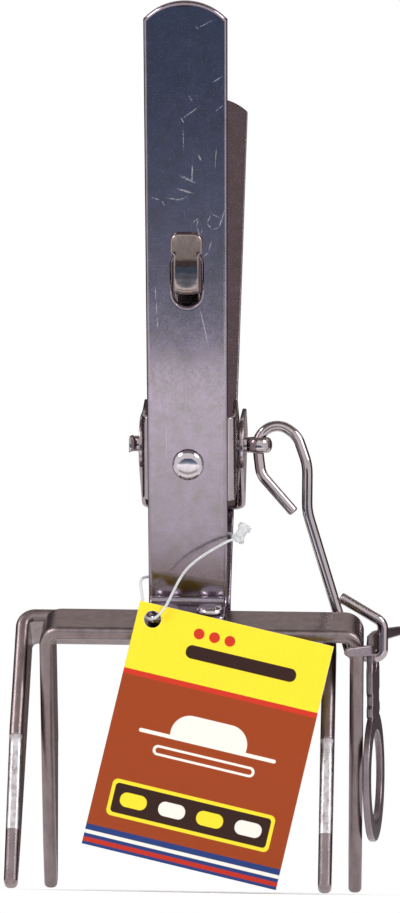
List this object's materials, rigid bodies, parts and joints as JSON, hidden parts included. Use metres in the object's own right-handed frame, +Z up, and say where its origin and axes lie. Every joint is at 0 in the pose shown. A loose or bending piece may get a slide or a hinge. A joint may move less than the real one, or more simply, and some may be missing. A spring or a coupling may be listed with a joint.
{
  "type": "mole trap",
  "caption": "Scissor trap for mole runs: strip handles riveted to forked claws on a split-pin pivot, a leaf spring, a hanging ring trigger on a bent wire and a blank card tag.",
  "frame": {"origin": "on the ground under the middle of the whole trap, which stands on its four claw tips", "axes": "+X along the pivot pin towards its eye and the trigger, +Z up, -Y towards the front half, which carries the tag"},
  "size_m": [0.0872, 0.1256, 0.1898],
  "materials": {
    "galvanised_strip": "bright zinc-coated steel strip with fine handling scratches",
    "claw_bar": "bright zinc-coated flat bar with duller sheared edges",
    "zinc_rivet": "bright domed rivet head",
    "bright_wire": "bright drawn steel wire",
    "spring_steel": "polished spring steel",
    "tag_card": "printed folded card with a satin varnish",
    "clear_nylon": "translucent moulded nylon"
  },
  "bodies": {
    "front_half": {"front_handle": "galvanised_strip", "front_claw": "claw_bar", "front_bracket": "galvanised_strip", "front_bracket_rivet": "zinc_rivet", "front_foot_rivet_left": "zinc_rivet", "front_foot_rivet_right": "zinc_rivet", "pivot_pin": "bright_wire", "leaf_spring": "spring_steel", "tag_fastener": "clear_nylon"},
    "rear_half": {"rear_handle": "galvanised_strip", "rear_claw": "claw_bar", "rear_bracket": "galvanised_strip", "rear_bracket_rivet": "zinc_rivet", "rear_foot_rivet_left": "zinc_rivet", "rear_foot_rivet_right": "zinc_rivet"},
    "trigger_wire": {"trigger_wire": "bright_wire"},
    "trigger_plate": {"trigger_plate": "galvanised_strip"},
    "hang_tag": {"hang_tag": "tag_card"}
  },
  "joints": [
    {"name": "jaw_pivot", "type": "hinge", "parent": "front_half", "child": "rear_half", "pos_m": [-0.0045, 0, 0.1003], "axis": [1, 0, 0], "range_deg": [0, 68], "stiffness_Nm_per_rad": 0.6, "springref_deg": -51.57, "deforming": ["leaf_spring"]},
    {"name": "trigger_wire_swing", "type": "hinge", "parent": "front_half", "child": "trigger_wire", "pos_m": [0.01457, 0, 0.1002], "axis": [0, -1, 0], "range_deg": [0, 60]},
    {"name": "trigger_plate_swing", "type": "hinge", "parent": "trigger_wire", "child": "trigger_plate", "pos_m": [0.03659, 0.0068, 0.0533], "axis": [0.9936, -0.1132, 0], "range_deg": [-15, 35]},
    {"name": "tag_swing", "type": "hinge", "parent": "front_half", "child": "hang_tag", "pos_m": [-0.01224, -0.0143, 0.06004], "axis": [-1, 0, 0], "range_deg": [0, 20]}
  ]
}
